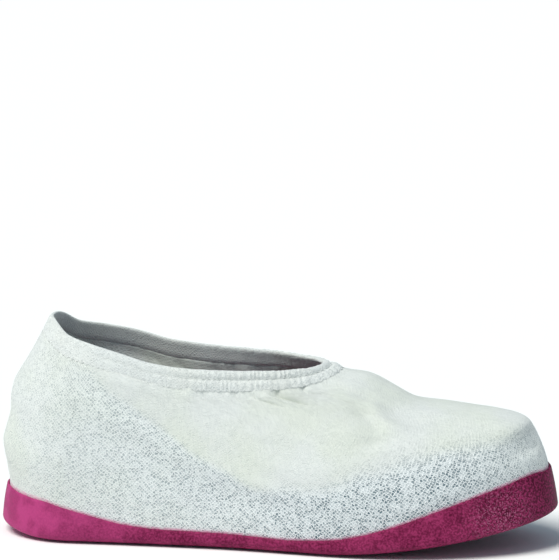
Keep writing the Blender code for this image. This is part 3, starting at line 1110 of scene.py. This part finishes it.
@dataclass
class KnitUpper:
    """Knitted body of the overshoe, from its tuck inside the rubber to the hem's seam."""

    form: FootForm
    hem_width: float
    columns: int = 480
    rows: int = 92
    thickness: float = 0.0012
    tucks: tuple[float, ...] = (0.0, 0.5, 1.0)
    hem_gap: float = 0.0030
    hem_lap: float = 0.0006
    hem_out: float = 0.0008
    free_rows: float = 1.2
    calm: float = 0.30
    calm_from_to: Range = (0.0006, 0.0046)
    fold_height: float = 0.0016
    fold_start: Range = (-0.3, 0.2)
    fold_end: Range = (1.3, 0.8)
    folds: tuple[Fold, ...] = (
        Fold(-0.16, 0.98, -0.30, 0.45, 0.12, 0.25),
        Fold(-0.24, 0.98, -0.40, 0.50, 0.12, 0.35),
        Fold(0.18, 0.98, 0.31, 0.45, 0.10, 0.9),
        Fold(0.28, 0.98, 0.43, 0.55, 0.12, 0.7),
        Fold(-0.47, 0.33, -0.69, 0.75, 0.15, 1.0),
        Fold(0.48, 0.33, 0.70, 0.75, 0.15, 0.9),
        Fold(0.12, 0.25, 0.20, 0.42, 0.10, -1.0),
        Fold(-0.188, 0.85, -0.296, 0.67, 0.070, -1.20),
        Fold(-0.130, 0.86, -0.256, 0.72, 0.060, 0.60),
        Fold(-0.085, 0.84, -0.230, 0.70, 0.080, -0.25),
        Fold(-0.257, 0.99, -0.264, 0.90, 0.020, -1.1),
        Fold(-0.288, 0.98, -0.290, 0.90, 0.024, 0.8),
        Fold(-0.322, 0.97, -0.318, 0.90, 0.018, -1.0),
        Fold(0.240, 1.00, 0.262, 0.88, 0.020, -0.8),
        Fold(0.300, 1.00, 0.318, 0.88, 0.022, -0.7),
    )
    dents: tuple[Dent, ...] = (
        Dent(-0.080, 0.530, 0.21, 0.075, -0.0025),
        Dent(-0.070, 0.645, 0.16, 0.030, 0.0007),
        Dent(-0.175, 0.885, 0.13, 0.055, 0.0011),
        Dent(-0.262, 0.750, 0.24, 0.065, 0.0008),
        Dent(-0.040, 0.910, 0.16, 0.050, -0.0003),
        Dent(-0.420, 0.620, 0.12, 0.080, -0.0006),
    )
    gathers: tuple[Gather, ...] = (
        Gather(116, 0.00045, 0.006, 3.0),
        Gather(48, 0.00090, 0.015, 11.0),
        Gather(22, 0.00110, 0.034, 19.0),
    )
    fade_power: float = 1.3
    unevenness: tuple[Lumps, ...] = (Lumps(0.00055, 0.030, 5.0), Lumps(0.00018, 0.011, 9.0))
    gather_strength: Curve = Curve((
        (0.0, 0.50), (0.14, 0.65), (0.24, 1.00), (0.36, 1.00), (0.48, 0.55), (0.60, 0.25), (1.0, 0.12),
    ))
    # This mask marks where the knit is pulled open and also paints light and shade: low on the slopes that
    # face the light, high on the shaded walls.
    stretch_and_shade_line: Curve = Curve((
        (0.0, 0.62), (0.10, 0.62), (0.22, 0.60), (0.33, 0.52), (0.42, 0.41), (0.49, 0.37), (0.53, 0.46),
        (0.56, 0.56), (0.59, 0.69), (0.65, 0.85), (0.73, 0.97), (0.84, 1.02), (1.0, 1.05),
    ))
    stretch_and_shade_strength: Curve = Curve((
        (0.0, 0.40), (0.12, 0.60), (0.20, 0.76), (0.28, 0.96), (0.42, 0.95), (0.56, 0.68), (0.74, 0.46),
        (0.86, 0.24), (1.0, 0.20),
    ))
    stretch_and_shade_edge: float = 0.08
    stretch_and_shade_wander: Lumps = Lumps(0.35, 0.016, 27.0)
    bleed_from_to: Range = (0.0016, 0.0002)

    def build(self, material: Material) -> bpy.types.Object:
        """Makes the upper and dresses it.

        Args:
            material: The knit.

        Returns:
            The new piece.
        """
        angles = column_angles(self.columns)
        below_hem = (self.hem_width + self.hem_gap, self.hem_width - self.hem_lap)
        points, places = loft(self.form.upper_rows(angles, self.tucks, below_hem, self.hem_out), self.rows)
        seam_row = len(self.tucks) - 1.0
        free = ramp(places, seam_row, seam_row + self.free_rows)[:, None]
        # The opening mark also paints shade on the walls and light on the slopes.
        marks = {"stretch_and_shade": self.stretched_and_shaded(points, angles), "bleed": self.bleed(points, places, seam_row)}
        from_hem = arc_lengths(points[::-1], 0)[::-1]
        relief = self.gathered(points[-1], from_hem) + self.folded(points, angles)
        relief *= self.calm + (1.0 - self.calm) * ramp(from_hem, *self.calm_from_to)
        relief += sum(lumps.over(points) for lumps in self.unevenness)
        points = points + ring_normals(points) * (relief * free)[..., None]
        mesh = grid_mesh(points, cloth_map(points, self.form.wale_turns(points, angles)), marks)
        made = piece("knit_upper", mesh, material)
        shell = made.modifiers.new("fabric", "SOLIDIFY")
        shell.thickness = self.thickness
        shell.offset = -1.0
        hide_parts("upper")
        return made

    @staticmethod
    def level(points: Array) -> Array:
        """Shares of the way up from the first row to the last."""
        low, high = points[0, :, 2], points[-1, :, 2]
        return (points[..., 2] - low) / (high - low)

    def stretched_and_shaded(self, points: Array, angles: Array) -> Array:
        """How far the knit is pulled open over the side walls, and hardly over the slopes above them, as
        painted shade and light: dark holes on the shaded walls, plain knit on the lit slopes.

        Args:
            points: Surface of rows by columns.
            angles: The columns' angles.

        Returns:
            Shares of the widest opening.
        """
        away = (self.level(points) - self.stretch_and_shade_line.at(turned(angles))) / self.stretch_and_shade_edge
        away += self.stretch_and_shade_wander.over(points)
        return self.stretch_and_shade_strength.at(turned(angles)) * ramp(away, 1.0, -1.0)

    def bleed(self, points: Array, places: Array, seam_row: float) -> Array:
        """Where the rubber has bled into the fabric, in a narrow band over its edge.

        Args:
            points: Surface of rows by columns.
            places: Each row's place among the control rows.
            seam_row: The rubber edge's place among them.

        Returns:
            Shares from 1 on the edge to 0.
        """
        height = arc_lengths(points, 0)
        seam = np.array([np.interp(seam_row, places, column) for column in height.T])
        return ramp(height - seam, *self.bleed_from_to)

    def gathered(self, rim: Array, from_hem: Array) -> Array:
        """Height of the gathers, which start at the hem and merge into fewer, longer ones.

        Args:
            rim: The surface's last row, along which the gathers are spaced.
            from_hem: Each point's distance down from that row.

        Returns:
            Heights above the plain surface.
        """
        shares = shares_round(rim)
        strength = self.gather_strength.at(turned(column_angles(len(rim))))
        relief = np.zeros_like(from_hem)
        for gather in self.gathers:
            fade = np.exp(-((from_hem / gather.reach) ** self.fade_power))
            relief += gather.depth * Puckers(gather.count, gather.seed).along(shares) * fade * strength
        return relief

    def folded(self, points: Array, angles: Array) -> Array:
        """Height of the folds and the dents over the plain surface.

        Args:
            points: Surface of rows by columns.
            angles: The columns' angles.

        Returns:
            Heights above the plain surface.
        """
        level = self.level(points)
        relief = np.zeros_like(level)
        for fold in self.folds:
            share = (level - fold.level_from) / (fold.level_to - fold.level_from)
            away = apart(angles, fold.angle_from + (fold.angle_to - fold.angle_from) * share) / fold.spread
            fade = ramp(share, *self.fold_start) * ramp(share, *self.fold_end)
            relief += fold.height * self.fold_height * fade * np.exp(-away * away)
        for dent in self.dents:
            round_it = apart(angles, dent.angle) / dent.reach_round
            up_it = (level - dent.level) / dent.reach_up
            relief += dent.height * np.exp(-(round_it ** 4) - up_it ** 4)
        return relief


class Stitch(Enum):
    """Stitch lines of the hem.

    Each turning point of the thread has its shares down the hem, and out of it where the hem is slack and
    where it is taut.
    """

    CHANNEL = ((0.41, 0.52, 0.66), (0.51, 0.50, 0.62))
    SEAM = ((0.95, 0.68, 0.49), (1.08, 0.44, 0.42))


@dataclass
class ElasticHem:
    """Casing of the elastic: two gathered rolls with a sewn channel between them."""

    form: FootForm
    width: float = 0.0115
    thickness: float = 0.0040
    columns: int = 960
    section_rows: int = 40
    channel: float = 0.46
    ruffle_count: int = 116
    ruffle_depth: float = 0.00040
    ruffle_seeds: tuple[float, float] = (31.0, 3.0)
    ruffle_inside: float = -0.4
    crest_level: float = 0.1
    crest_dip: float = 0.5
    drift: Waves = Waves(0.00035, 26, 5.0)
    crumple: Waves = Waves(0.00028, 210, 13.0)
    crumple_change: float = 9.0
    sag: Waves = Waves(0.00030, 60, 15.0)
    openness: float = 0.45
    thread_radius: float = 0.00018
    thread_ruffling: float = 0.8
    stitch_count: int = 118
    fine_columns: int = 4000
    slack: Curve = Curve(((0.0, 1.00), (0.30, 1.00), (0.45, 0.65), (0.58, 0.25), (0.75, 0.08), (1.0, 0.05)))
    section: tuple[tuple[float, float, float, float], ...] = (
        # down, out where slack, out where taut, ruffling
        (0.00, 0.00, 0.00, 0.60),
        (0.05, 0.62, 0.46, 0.80),
        (0.16, 0.98, 0.70, 1.00),
        (0.30, 0.92, 0.74, 1.00),
        (0.41, 0.55, 0.70, 0.50),
        (0.46, 0.36, 0.66, 0.15),
        (0.51, 0.52, 0.66, 0.50),
        (0.62, 0.90, 0.66, 1.00),
        (0.78, 0.92, 0.58, 1.00),
        (0.92, 0.72, 0.50, 0.80),
        (1.02, 0.52, 0.41, 0.50),
        (1.05, 0.34, 0.28, 0.40),
        (0.97, -0.20, -0.20, 0.50),
        (0.75, -0.62, -0.50, 0.60),
        (0.46, -0.55, -0.50, 0.30),
        (0.16, -0.62, -0.50, 0.60),
        (0.04, -0.40, -0.36, 0.60),
    )

    def shares(self, angles: Array) -> Array:
        """Places along the rim's length, from 0 to 1, at angles round the foot."""
        return shares_round(self.form.rim_point(angles))

    def closed_section(self) -> Array:
        """Samples the smooth closed section.

        Returns:
            Rows with the columns of the section's table.
        """
        rows = np.array(self.section)
        closed = np.concatenate([rows[-2:], rows, rows[:3]])[:, None, :]
        places = 2.0 + np.arange(self.section_rows) * len(rows) / self.section_rows
        return through(closed, np.arange(len(closed), dtype=float), places)[0][:, 0, :]

    def surface(self, angles: Array, down: float, slack_out: float, taut_out: float,
                ruffling: float) -> Array:
        """Points of one line round the hem, with its ruffles.

        Args:
            angles: Angles round the foot.
            down: Share of the hem's width below the rim.
            slack_out: Share of half of its thickness out of its middle surface, where the hem is slack.
            taut_out: The same where the elastic pulls it taut.
            ruffling: Share of the full ruffle depth.

        Returns:
            One row of points.
        """
        shares = self.shares(angles)
        slack = self.slack.at(turned(angles))
        upper_seed, lower_seed = self.ruffle_seeds
        puckers = Puckers(self.ruffle_count, lower_seed if down > self.channel else upper_seed)
        ruffle = puckers.along(shares) * self.ruffle_depth * ruffling * slack
        wander = self.drift.along(shares) + self.crumple.along(shares, self.crumple_change * down) * slack
        sag = self.sag.along(shares) * (1.0 - down) * slack
        dip = self.crest_dip * np.abs(ruffle) if down < self.crest_level else 0.0
        side = 1.0 if slack_out > 0.0 else self.ruffle_inside
        out = (taut_out + (slack_out - taut_out) * slack) * self.thickness / 2.0
        return self.form.hem_point(angles, down * self.width + sag - dip, out + side * ruffle + wander)

    def build(self, material: Material) -> bpy.types.Object:
        """Makes the casing and dresses it.

        Args:
            material: The knit of the casing.

        Returns:
            The new piece.
        """
        angles = column_angles(self.columns)
        points = np.stack([self.surface(angles, *row) for row in self.closed_section()])
        closed = np.concatenate([points, points[:1]], axis=0)
        turns = self.shares(angles)
        turns = np.broadcast_to(np.where(turns < 0.5, turns, turns - 1.0), closed.shape[:2])
        marks = {"stretch_and_shade": np.full(points.shape[:2], self.openness), "bleed": np.zeros(points.shape[:2])}
        mesh = grid_mesh(points, cloth_map(closed, turns), marks, close_rows=True)
        bmesh.ops.recalc_face_normals(mesh, faces=mesh.faces)
        made = piece("elastic_casing", mesh, material)
        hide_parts("elastic_hem")
        return made

    def sew(self, stitch: Stitch, material: Material) -> bpy.types.Object:
        """Sews a line of thread round the hem.

        Args:
            stitch: Which line.
            material: The thread.

        Returns:
            The new piece.
        """
        name = stitch.name.lower() + "_thread"
        fine = column_angles(self.fine_columns)
        lines = [self.surface(fine, *stop, self.thread_ruffling) for stop in stitch.value]
        turns = np.arange(self.stitch_count * len(lines))
        nearest = np.searchsorted(self.shares(fine), turns / len(turns)) % len(fine)
        line = bpy.data.curves.new(name, "CURVE")
        line.dimensions = "3D"
        line.bevel_depth = self.thread_radius
        line.bevel_resolution = 1
        spline = line.splines.new("POLY")
        spline.points.add(len(turns) - 1)
        for turn, target in zip(turns, spline.points):
            target.co = (*lines[turn % len(lines)][nearest[turn]], 1.0)
        spline.use_cyclic_u = True
        carrier = in_scene(name + "_line", line)
        data = bpy.data.meshes.new_from_object(carrier.evaluated_get(bpy.context.evaluated_depsgraph_get()))
        bpy.data.objects.remove(carrier)
        mesh = bmesh.new()
        mesh.from_mesh(data)
        bpy.data.meshes.remove(data)
        return piece(name, mesh, material)


@dataclass
class RubberSole:
    """Moulded tray with a thin wavy edge, and the pads of its tread."""

    form: FootForm
    columns: int = 480
    across: int = 24
    corner_rows: int = 7
    outer_shares: tuple[float, ...] = (0.12, 0.3, 0.5, 0.7, 0.88, 1.0)
    lip_rows: int = 6
    lip_radius: float = 0.0006
    inner_shares: tuple[float, ...] = (0.85, 0.55, 0.25, 0.06)
    wall_bow: float = 0.00035
    floor_inset: float = 0.0030
    pitch_length: float = 0.0130
    pitch_width: float = 0.0074
    groove: float = 0.0015
    tip_groove: float = 0.00255
    margin: float = 0.0068
    pad_sides: int = 12
    pointedness: float = 1.45
    pad_sink: float = 0.0002
    pad_rings: tuple[tuple[float, float], ...] = (
        # inset, depth
        (0.00030, 0.0011), (0.00035, 0.0003), (0.00045, -0.0003), (0.00060, -0.0002),
    )
    edge_waves: tuple[Waves, ...] = (Waves(0.00022, 46, 2.0), Waves(0.0001, 150, 8.0))

    def wall_rows(self, angles: Array) -> list[Array]:
        """Rows of the tray's wall, from the underside round the lip to the floor inside.

        Args:
            angles: Angles round the foot.

        Returns:
            The rows, each with a point for every angle.
        """
        form = self.form
        top = form.wall_height(angles) + sum(waves.along(angles / TAU) for waves in self.edge_waves)
        rows = []
        for turn in np.linspace(0.0, math.pi / 2.0, self.corner_rows):
            rise = form.tread_height + (form.corner_radius - form.tread_height) * (1.0 - math.cos(turn))
            rows.append(form.on_wall(angles, rise, form.corner_radius * (1.0 - math.sin(turn))))
        for share in self.outer_shares:
            height = form.corner_radius + (top - self.lip_radius - form.corner_radius) * share
            bow = self.wall_bow * math.sin(math.pi * share)
            rows.append(form.on_wall(angles, height, form.outer_inset(angles, height) - bow))
        edge = form.outer_inset(angles, top)
        for turn in np.linspace(0.0, math.pi, self.lip_rows)[1:]:
            inset = edge + self.lip_radius * (1.0 - math.cos(turn))
            rows.append(form.on_wall(angles, top - self.lip_radius * (1.0 - math.sin(turn)), inset))
        for share in self.inner_shares:
            height = form.floor_top + (top - self.lip_radius - form.floor_top) * share
            rows.append(form.on_wall(angles, height, form.inner_inset(angles, height)))
        return rows + [form.on_wall(angles, form.floor_top, self.floor_inset)]

    def disc(self, rim: Array) -> bpy.types.Mesh:
        """Closes a contour with a grid that follows its curve along the foot.

        Args:
            rim: The contour's points, from the toe round.

        Returns:
            A mesh whose border points are the contour's own.
        """
        half = len(rim) // 2
        mesh = bmesh.new()
        bmesh.ops.create_grid(mesh, x_segments=half, y_segments=self.across, size=0.5)
        for vert in mesh.verts:
            index = round((vert.co.x + 0.5) * half)
            left, right = rim[index], rim[-index % len(rim)]
            vert.co = left + (right - left) * (vert.co.y + 0.5)
        bmesh.ops.remove_doubles(mesh, verts=mesh.verts, dist=WELD)
        return mesh_data("disc", mesh)

    def build_tray(self, material: Material) -> bpy.types.Object:
        """Makes the tray and dresses it.

        Args:
            material: The rubber.

        Returns:
            The new piece.
        """
        rows = self.wall_rows(column_angles(self.columns))
        mesh = grid_mesh(np.stack(rows), None, {})
        for rim in (rows[0], rows[-1]):
            disc = self.disc(rim)
            mesh.from_mesh(disc)
            bpy.data.meshes.remove(disc)
        bmesh.ops.remove_doubles(mesh, verts=mesh.verts, dist=PARTS_WELD)
        bmesh.ops.recalc_face_normals(mesh, faces=mesh.faces)
        made = piece("rubber_tray", mesh, material)
        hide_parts("sole")
        return made

    def within_tread(self, x: float, y: float) -> bool:
        """Whether a point of the underside lies inside the tread's margin.

        Args:
            x: Its place along the foot.
            y: Its place across the foot.

        Returns:
            True where a pad may reach.
        """
        half = self.form.half_length
        reach = half - self.margin
        if abs(x) >= reach:
            return False
        return abs(y) < float(self.form.half_width(np.array([x * half / reach]))[0]) - self.margin

    def pad_sites(self) -> list[tuple[float, float]]:
        """Sets out the pads in staggered rows, with a pad under the middle of the foot.

        Returns:
            The pads' centres.
        """
        long_half, wide_half = self.pitch_length / 2.0, self.pitch_width / 2.0
        sites = []
        steps = math.ceil(self.form.half_length / long_half)
        count = math.ceil(self.form.ball_width / 2.0 / self.pitch_width)
        for row in range(-steps, steps + 1):
            for place in range(-count - 1, count + 1):
                x, y = row * long_half, (2 * place + row % 2) * wide_half
                tips = ((x - long_half, y), (x + long_half, y), (x, y - wide_half), (x, y + wide_half))
                if all(self.within_tread(*tip) for tip in tips):
                    sites.append((x, y))
        return sites

    def pad(self) -> bpy.types.Mesh:
        """Makes one pad: a pointed oval with a rounded rim and a dished middle, facing down.

        Returns:
            The pad's mesh, in the middle of the foot.
        """
        mesh = bmesh.new()
        made = bmesh.ops.create_circle(mesh, cap_ends=True, segments=self.pad_sides, radius=1.0)
        half_length = (self.pitch_length - self.tip_groove) / 2.0
        half_width = (self.pitch_width - self.groove) / 2.0
        top = self.form.tread_height + self.pad_sink
        for vert in made["verts"]:
            angle = math.atan2(vert.co.y, vert.co.x)
            c, s = math.cos(angle), math.sin(angle)
            reach = (abs(c) ** self.pointedness + abs(s) ** self.pointedness) ** (-1.0 / self.pointedness)
            vert.co = (half_length * reach * c, half_width * reach * s, top)
        face = mesh.faces[:][0]
        mesh.normal_update()
        if face.normal.z > 0.0:
            bmesh.ops.reverse_faces(mesh, faces=[face])
        for inset, depth in self.pad_rings:
            bmesh.ops.inset_individual(mesh, faces=[face], thickness=inset, depth=depth, use_even_offset=True)
        return mesh_data("pad", mesh)

    def build_tread(self, material: Material) -> bpy.types.Object:
        """Makes the pads, bends them to the sole's curve and dresses them.

        Args:
            material: The rubber.

        Returns:
            The new piece.
        """
        single = self.pad()
        mesh = bmesh.new()
        for x, y in self.pad_sites():
            before = len(mesh.verts)
            mesh.from_mesh(single)
            mesh.verts.ensure_lookup_table()
            bmesh.ops.translate(mesh, verts=mesh.verts[before:], vec=(x, y, 0.0))
        bpy.data.meshes.remove(single)
        for vert in mesh.verts:
            vert.co.z += float(self.form.ground(np.float64(vert.co.x)))
        made = piece("tread_pads", mesh, material)
        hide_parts("sole")
        return made


# The studio

class View(Enum):
    """Camera angles, as azimuth and elevation in degrees."""

    PHOTO = (8.0, 13.0)


def towards(turn: float, rise: float) -> Vector:
    """Unit vector at a turn from -Y to +X and a rise from the ground, in radians."""
    return Vector((math.sin(turn) * math.cos(rise), -math.cos(turn) * math.cos(rise), math.sin(rise)))


@dataclass
class Studio:
    """Pale floor, soft studio light and the camera."""

    view: View = View.PHOTO
    distance: float = 5.0
    far_limit: float = 60.0
    pixels_per_metre: float = 1746.0
    frame_width: int = 559
    frame_height: int = 560
    origin_row: float = 534.6
    sensor: float = 36.0
    key_angles: tuple[float, float] = (-38.0, 60.0)
    key_spread: float = 35.0
    key_strength: float = 3.05
    key_colour: Colour = (1.0, 0.980, 0.925)
    room_colour: Colour = (0.66, 0.86, 1.0)
    room_strength: float = 0.345
    floor_reach: float = 20.0
    floor_colour: Colour = (0.96, 0.96, 0.96)
    floor_roughness: float = 0.9

    def build(self) -> None:
        """Sets up the floor, the lights, the world and the camera."""
        self.build_floor()
        self.build_world()
        self.build_key()
        self.build_camera()
        bpy.context.scene.view_settings.view_transform = "Standard"

    def build_floor(self) -> None:
        """Makes the plain pale floor."""
        mesh = bmesh.new()
        bmesh.ops.create_grid(mesh, x_segments=2, y_segments=2, size=self.floor_reach)
        data = mesh_data("floor", mesh)
        material, net, shader, _ = start_material("floor")
        net.feed(shader, {"Base Color": self.floor_colour, "Roughness": self.floor_roughness})
        data.materials.append(material)
        floor = in_scene("floor", data)

    def build_world(self) -> None:
        """Makes the even light of a white room."""
        world = bpy.data.worlds.new("white_room")
        world.use_nodes = True
        background = world.node_tree.nodes["Background"]
        Net(world.node_tree).feed(background, {"Color": self.room_colour, "Strength": self.room_strength})
        bpy.context.scene.world = world

    def build_key(self) -> None:
        """Hangs the large soft light, far away on the side of the heel."""
        light = bpy.data.lights.new("key", "SUN")
        light.angle = math.radians(self.key_spread)
        light.energy = self.key_strength
        light.color = self.key_colour
        beam = -towards(*(math.radians(angle) for angle in self.key_angles))
        in_scene("key", light).rotation_euler = beam.to_track_quat("-Z", "Y").to_euler()

    def build_camera(self) -> None:
        """Places the camera so that the origin lands on its pixel at the photograph's scale."""
        azimuth, elevation = (math.radians(value) for value in self.view.value)
        focal = self.pixels_per_metre * self.distance
        drop = math.atan2(self.origin_row - self.frame_height / 2.0, focal)
        camera = bpy.data.cameras.new("camera")
        camera.sensor_fit = "HORIZONTAL"
        camera.sensor_width = self.sensor
        camera.lens = focal * math.cos(drop) * self.sensor / self.frame_width
        camera.clip_end = self.far_limit
        place = Matrix.Translation(towards(azimuth, elevation) * self.distance)
        turn = (-towards(azimuth, elevation - drop)).to_track_quat("-Z", "Y")
        made = in_scene("camera", camera)
        made.matrix_world = place @ turn.to_matrix().to_4x4()
        bpy.context.scene.camera = made


def main() -> None:
    """Builds the overshoe piece by piece, and the studio round it."""
    logging.basicConfig(level=logging.INFO, format="%(message)s")
    form = FootForm()
    loops = knit_loops_group()
    knit = KnitFinish().build(loops)
    hem_knit = KnitFinish(
        name="hem_knit", warm=(0.690, 0.697, 0.638), cool=(0.700, 0.720, 0.692), wales=200, course=0.0020,
        hole_strength=0.30,
    ).build(loops)
    rubber = RubberFinish().build(moulded_grain_group())
    thread = ThreadFinish().build()

    sole = RubberSole(form)
    hem = ElasticHem(form)
    pieces = [
        sole.build_tray(rubber),
        sole.build_tread(rubber),
        KnitUpper(form, hem.width).build(knit),
        hem.build(hem_knit),
        *(hem.sew(stitch, thread) for stitch in Stitch),
    ]
    for made in pieces:
        LOG.info("%s: %d faces", made.name, len(made.data.polygons))
    Studio().build()


if __name__ == "__main__":
    main()
